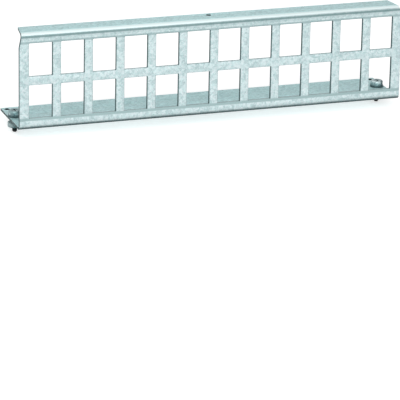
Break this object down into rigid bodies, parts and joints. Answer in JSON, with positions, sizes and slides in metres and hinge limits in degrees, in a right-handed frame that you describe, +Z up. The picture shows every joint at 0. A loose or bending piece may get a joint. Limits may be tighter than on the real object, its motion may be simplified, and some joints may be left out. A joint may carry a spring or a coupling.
{
  "type": "patch panel",
  "caption": "Bare folded sheet patch panel with two rows of rectangular module openings and a clamp screw at each end.",
  "frame": {"origin": "half way between the two clamp screws, on the underside of the bottom flange", "axes": "+X along the panel to the right as seen from the front, +Y from the front plate to the back, +Z up the front plate"},
  "size_m": [0.25, 0.044, 0.0697],
  "materials": {
    "galvanised_sheet": "galvanised, fine spangle, satin",
    "screw_steel": "zinc plated, dark in its recess and at the tip",
    "washer_steel": "zinc plated, smooth",
    "nut_steel": "zinc plated, dull"
  },
  "bodies": {
    "root": {"panel_sheet": "galvanised_sheet", "left_screw": "screw_steel", "left_washer": "washer_steel", "left_nut": "nut_steel", "right_screw": "screw_steel", "right_washer": "washer_steel", "right_nut": "nut_steel"}
  },
  "joints": []
}
